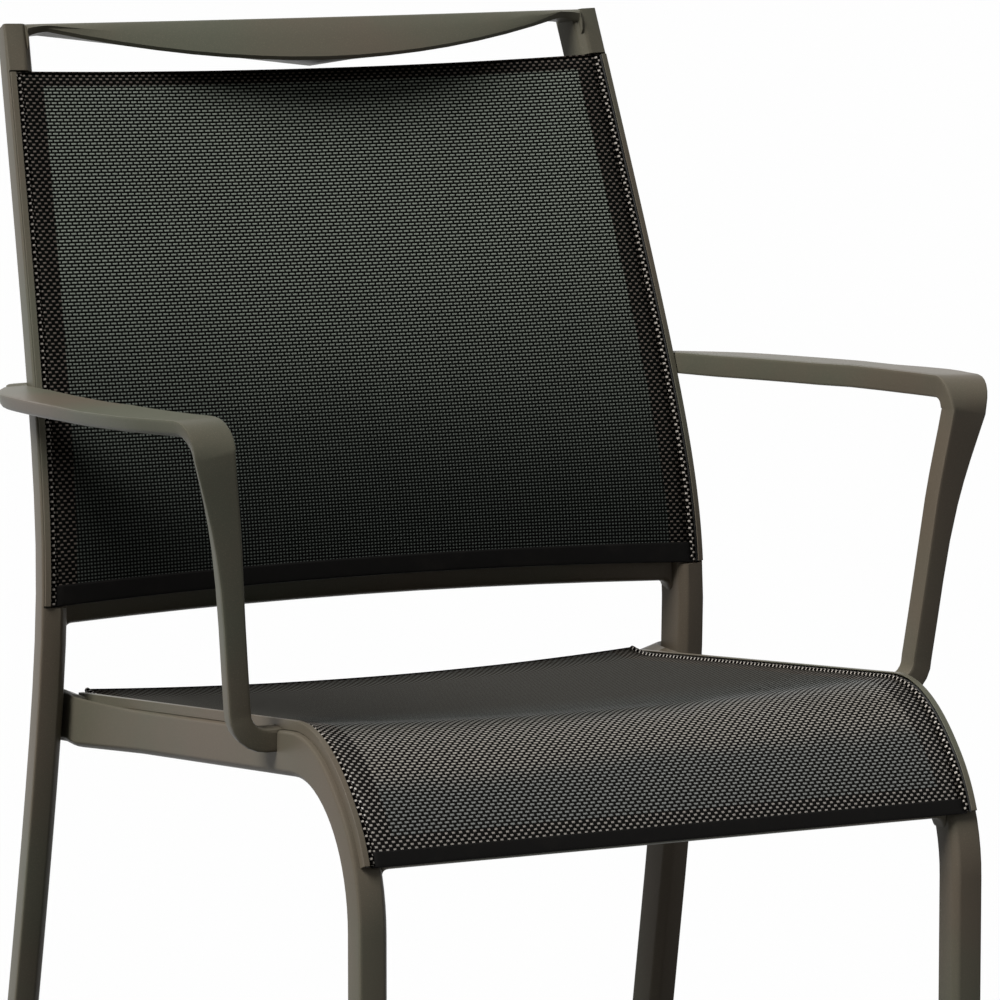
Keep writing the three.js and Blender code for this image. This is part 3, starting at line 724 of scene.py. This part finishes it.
# The strips on the slings' ends: how far each reaches in on the face and on the back, and its gap
stripPlan = {"thickness": 0.0005, "columns": 61, "faceRows": 9, "turnRows": 5}
stripPlans = {
    "back_top_fold": {"front": 0.0006, "rear": 0.009, "gap": 0.0007, "finish": "hemCloth"},
    "back_bottom_binding": {"front": 0.0135, "rear": 0.0135, "gap": 0.0008, "finish": "binding"},
    "seat_front_binding": {"front": 0.009, "rear": 0.009, "gap": 0.0008, "finish": "binding"},
    "seat_rear_fold": {"front": 0.0006, "rear": 0.018, "gap": 0.0007, "finish": "hemCloth"},
}


def makeBackLine():
    # the back sling's middle line; its ends are drawn in by cubics that fade out at mid-height
    line = clothLine(postPlaces(backPlan["bottom"], backPlan["top"]), postPlan["track"])
    share = (line["s"] / line["s"][-1])[:, None]
    low = -backPlan["bottomDraw"] * np.clip(1 - 2 * share, 0, 1) ** 3
    high = backPlan["topDraw"] * np.clip(2 * share - 1, 0, 1) ** 3
    line["sag"] = np.full_like(share, backPlan["sag"])
    line["draw"] = low + high
    line["way"] = -1  # distances grow upward, "along" points down
    return line


def makeSeatLine():
    # the seat sling's middle line: its share runs over the straight run, then with the bend's angle
    line = clothLine(railPlaces(seatPlan["rear"], seatPlan["lowest"]), railPlan["track"])
    run = seatPlan["runShare"]
    share = run * (seatPlan["rear"] - line["reach"]) / (seatPlan["rear"] + railPlan["bendStart"])
    share = np.where(line["turned"] > 0, run + (1 - run) * line["turned"], share)
    line["sag"] = seatPlan["sag"] * (1 - smooth((share - seatPlan["sagUntil"]) / seatPlan["sagFade"]))
    line["draw"] = seatPlan["draw"] * (1 - share) ** 6  # fades quickly toward the front
    line["way"] = 1
    # the rear hem stands a little proud of the rails
    lift = np.clip(1 - line["s"] / seatPlan["liftRun"], 0, 1) ** 2 * seatPlan["rearLift"]
    line["origin"] = line["origin"] + line["out"] * lift[:, None]
    return line


def sheetUv(line, x, s, half):
    # metres across and along the cloth, and the distances to its side and to its hemmed end
    cloth = np.stack([x, s], -1)
    rim = np.stack([half[:, :1] - np.abs(x), line["s"][-1] - s], -1)
    return {"cloth": cloth, "rim": rim}


def clothSheet(name, line, rows, finish):
    # a grid of even steps along the line, and across from one rolled edge to the other
    s = np.linspace(0, line["s"][-1], rows)[:, None]
    share = np.linspace(-1, 1, sheetPlan["columns"])[None, :]
    half = onLine(line, "half", s[:, 0])
    x = share * (half - sheetPlan["tuck"])
    s = np.broadcast_to(s, x.shape)
    points = clothPoints(line, s, x, np.zeros_like(x))
    faces = gridFaces(rows, sheetPlan["columns"])
    piece = newPiece(name, points, faces, finish, sheetUv(line, x, s, half))
    return thicken(piece, sheetPlan["thickness"])


def sideFlap(name, line, side, rows):
    # the cloth's edge, turned back behind the sheet
    s = np.linspace(0, line["s"][-1], rows)[:, None]
    half = onLine(line, "half", s[:, 0])
    x = side * (half - np.linspace(sheetPlan["sideHem"], 0, sheetPlan["flapColumns"])[None, :])
    s = np.broadcast_to(s, x.shape)
    points = clothPoints(line, s, x, np.full_like(x, -sheetPlan["flapGap"]))
    faces = gridFaces(rows, sheetPlan["flapColumns"])
    piece = newPiece(name, points, faces, "hemCloth", sheetUv(line, x, s, half))
    return thicken(piece, sheetPlan["thickness"])


def sideRoll(name, line, side, rows):
    # the cloth's rounded edge where it turns into the track's slot: a circle carried along the sheet's side
    short = sheetPlan["rollShort"]
    turn = np.linspace(0, math.tau, sheetPlan["rollFacets"], endpoint=False)[None, :]
    s = np.linspace(short, line["s"][-1] - short, rows)[:, None]
    half = onLine(line, "half", s[:, 0])
    x = side * (half + sheetPlan["roll"] * np.cos(turn))
    s = np.broadcast_to(s, x.shape)
    points = clothPoints(line, s, side * half, sheetPlan["roll"] * np.sin(turn))
    points[..., 0] = x
    around = np.broadcast_to(turn * sheetPlan["roll"], x.shape)
    level = np.full_like(x, clothPlans["glintBeadCloth"]["paintedLight"][0])
    uv = {"cloth": np.stack([around, s], -1), "rim": np.stack([np.zeros_like(x), level], -1)}
    faces = outward(points, gridFaces(rows, sheetPlan["rollFacets"], True))
    # the rolled edge's bright tone is a painted highlight for its glints, over the cloth's own weave
    return newPiece(name, points, faces, "glintBeadCloth", uv)


def edgeStrip(name, line, atEnd):
    # a strip folded over the sheet's edge: up its face, round the edge and down its back
    plan, gap = stripPlans[name], stripPlans[name]["gap"]
    rows, columns = stripPlan["faceRows"], stripPlan["columns"]
    turn = np.linspace(math.pi / 2, -math.pi / 2, stripPlan["turnRows"] + 2)[1:-1]
    face, back = np.linspace(plan["front"], 0, rows), np.linspace(0, plan["rear"], rows)
    inward = np.concatenate([face, -gap * np.cos(turn), back])
    rise = np.concatenate([np.full(rows, gap), gap * np.sin(turn), np.full(rows, -gap)])
    s = line["s"][-1] - inward[:, None] if atEnd else inward[:, None]
    half = onLine(line, "half", s[:, 0])
    x = np.linspace(-1, 1, columns)[None, :] * half
    s = np.broadcast_to(s, x.shape)
    points = clothPoints(line, s, x, np.broadcast_to(rise[:, None], x.shape))
    faces = gridFaces(len(inward), columns)
    piece = newPiece(name, points, faces, plan["finish"], sheetUv(line, x, s, half))
    return thicken(piece, stripPlan["thickness"])


# The tracks: a channel on each post and rail whose lip holds the cloth's rolled edge
def trackPiece(node, places, track):
    # its profile, a C open toward the cloth, is carried along the post's or the rail's line
    wide, tall, wall, lip = (trackPlan[key] for key in ("width", "height", "wall", "lip"))
    profile = np.array([
        (0, 0), (wide, 0), (wide, wall), (wall, wall),
        (wall, tall - wall), (lip, tall - wall), (lip, tall), (0, tall),
    ]) + np.array(track)
    origin, across, out = (places[key][:, None] for key in ("origin", "across", "out"))
    points = origin + across * profile[:, :1] + out * profile[:, 1:]
    if "right" in node:
        points = points * np.array([-1, 1, 1])
    rows, columns = points.shape[:2]
    caps = np.array([(0, 1, 2, 3), (0, 3, 4, 7), (7, 4, 5, 6)])
    sides = gridFaces(rows, columns, True)
    faces = np.concatenate([sides, caps[:, ::-1], caps + (rows - 1) * columns])
    piece = newPiece(node + "_finished", points, outward(points, faces), "frame")
    soft = piece.modifiers.new("soft", "BEVEL")
    soft.width = trackPlan["softEdge"]
    soft.segments = 2
    piece.data.set_sharp_from_angle(angle=math.radians(framePlan["smoothUnder"]))
    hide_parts(node)


for side in ("left", "right"):
    trackPiece("back_%s_track" % side, postPlaces(backPlan["bottom"], backPlan["top"]), postPlan["track"])
    trackPiece("seat_%s_track" % side, railPlaces(seatPlan["rear"], seatPlan["lowest"]), railPlan["track"])
print("tracks made")

backLine, seatLine = makeBackLine(), makeSeatLine()
backSheet = clothSheet("back_sheet", backLine, backPlan["rows"], "backCloth")
seatSheet = clothSheet("seat_sheet", seatLine, seatPlan["rows"], "seatCloth")
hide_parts("back_sling")
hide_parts("seat_sling")
backHems, seatHems = [], []
for name, side in (("left", -1), ("right", 1)):
    backHems.append(sideFlap("back_%s_flap" % name, backLine, side, backPlan["rows"]))
    backHems.append(sideRoll("back_%s_roll" % name, backLine, side, backPlan["rollRows"]))
    seatHems.append(sideFlap("seat_%s_flap" % name, seatLine, side, seatPlan["rows"]))
    seatHems.append(sideRoll("seat_%s_roll" % name, seatLine, side, seatPlan["rollRows"]))
backTopFold = edgeStrip("back_top_fold", backLine, True)
backBottomBinding = edgeStrip("back_bottom_binding", backLine, False)
seatFrontBinding = edgeStrip("seat_front_binding", seatLine, True)
seatRearFold = edgeStrip("seat_rear_fold", seatLine, False)
print("slings made")


# Stage: a pale floor and a white surround for the camera, a broad sun from the chair's left, a weak sky
lightPlan = {
    "sunFrom": (-0.64, -0.16, 0.75),
    "sunStrength": 3.9,
    "sunAngle": 30.0,
    "sunAway": 3.0,
    "sky": 0.05,
    "skyTop": 0.15,
    "floor": 0.14,
    "floorHalf": 60.0,
    "pale": (0.6, 0.99),
    "pool": (0.60, 1.05),
}


def broadSun():
    data = bpy.data.lights.new("keySun", "SUN")
    data.energy = lightPlan["sunStrength"]
    data.angle = math.radians(lightPlan["sunAngle"])
    lamp = bpy.data.objects.new("keySun", data)
    bpy.context.scene.collection.objects.link(lamp)
    direction = Vector(lightPlan["sunFrom"])
    lamp.rotation_euler = direction.to_track_quat("Z", "Y").to_euler()
    lamp.location = direction * lightPlan["sunAway"]


def whiteWorld():
    # white where it is seen straight, and for all other rays a weak sky that brightens with height
    world = bpy.data.worlds.new("studio")
    bpy.context.scene.world = world
    make = Finish(world)
    height = make.part(make.add("TexCoord", {}, (), "Generated"), "Z")
    sky = lightPlan["sky"] + height.math("MAXIMUM", 0.0) * lightPlan["skyTop"]
    seen = make.straightRays()
    strength = seen + (1 - seen) * sky
    background = make.add("Background", {}, {"Color": (1, 1, 1, 1), "Strength": strength})
    make.add("OutputWorld", {}, {"Surface": background})


def paleFloor():
    # seen straight it turns white away from the chair, while its light on the chair stays that of grey
    size = lightPlan["floorHalf"]
    corners = np.array([[-size, -size, 0], [size, -size, 0], [size, size, 0], [-size, size, 0]])
    mesh = bpy.data.meshes.new("floor")
    mesh.from_pydata(corners, [], np.array([[0, 1, 2, 3]]))
    floor = bpy.data.objects.new("floor", mesh)
    bpy.context.scene.collection.objects.link(floor)
    make = newFinish("paleFloor")
    away = make.add("VectorMath", {"operation": "LENGTH"}, [make.objectPlace()], "Value")
    near, far = lightPlan["pale"]
    white = near + make.step(away, *lightPlan["pool"]) * (far - near)
    plain = make.add("BsdfDiffuse", {}, {"Color": (*[lightPlan["floor"]] * 3, 1)})
    bright = make.add("Emission", {}, {"Color": (1, 1, 1, 1), "Strength": 1.0})
    mixed = make.add("MixShader", {}, [make.straightRays() * white, plain, bright])
    make.add("OutputMaterial", {}, {"Surface": mixed})
    mesh.materials.append(make.owner)


broadSun()
whiteWorld()
paleFloor()
print("stage set")
